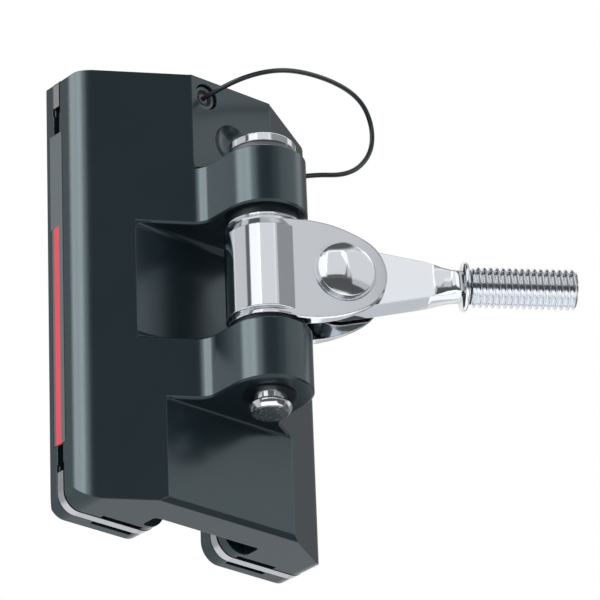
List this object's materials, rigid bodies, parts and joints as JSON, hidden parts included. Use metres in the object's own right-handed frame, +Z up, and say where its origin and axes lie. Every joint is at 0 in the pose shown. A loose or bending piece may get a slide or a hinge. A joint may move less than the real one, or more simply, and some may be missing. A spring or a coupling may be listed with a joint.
{
  "type": "batten car",
  "caption": "Recirculating ball car that runs on a mast track, with a two-way pivoting toggle and a threaded stud that holds the end of a sail batten.",
  "frame": {"origin": "on the centre line of the mast track, in the middle of the channel, at mid height of the body", "axes": "+Z up along the mast track, +X away from the track through the clevis pin, +Y to starboard"},
  "size_m": [0.0814, 0.1012, 0.1205],
  "materials": {
    "black_anodised": "black hard anodised, satin",
    "polished_stainless": "mirror polished stainless steel",
    "black_acetal": "smooth matt",
    "grey_acetal": "smooth matt",
    "label_film": "printed film with one plain red stripe",
    "ball_plastic": "polished plastic balls",
    "coated_wire": "smooth clear-coated wire"
  },
  "bodies": {
    "car": {"car_body": "black_anodised", "clevis_pin": "polished_stainless", "upper_bush": "black_acetal", "lower_bush": "black_acetal", "head_washer": "grey_acetal", "upper_thrust_washer": "black_acetal", "lower_thrust_washer": "black_acetal", "port_lower_strip": "polished_stainless", "port_upper_strip": "polished_stainless", "starboard_lower_strip": "polished_stainless", "starboard_upper_strip": "polished_stainless", "port_label": "label_film", "starboard_label": "label_film", "port_balls": "ball_plastic", "starboard_balls": "ball_plastic", "lanyard": "coated_wire", "lanyard_ferrule": "grey_acetal", "lanyard_plug": "grey_acetal"},
    "toggle": {"toggle_fork": "polished_stainless", "toggle_rivet": "polished_stainless", "rivet_washer_front": "polished_stainless", "rivet_washer_back": "polished_stainless"},
    "arm": {"stud_arm": "polished_stainless", "arm_bush": "black_acetal"}
  },
  "joints": [
    {"name": "toggle_swivel", "type": "hinge", "parent": "car", "child": "toggle", "pos_m": [0.02655, 0, -0.0004], "axis": [0, 0, 1], "range_deg": [-147.5, 32.5]},
    {"name": "arm_tilt", "type": "hinge", "parent": "toggle", "child": "arm", "pos_m": [0.03611, 0.01501, -0.0004], "axis": [0.8434, -0.5373, 0], "range_deg": [-45, 45]}
  ]
}
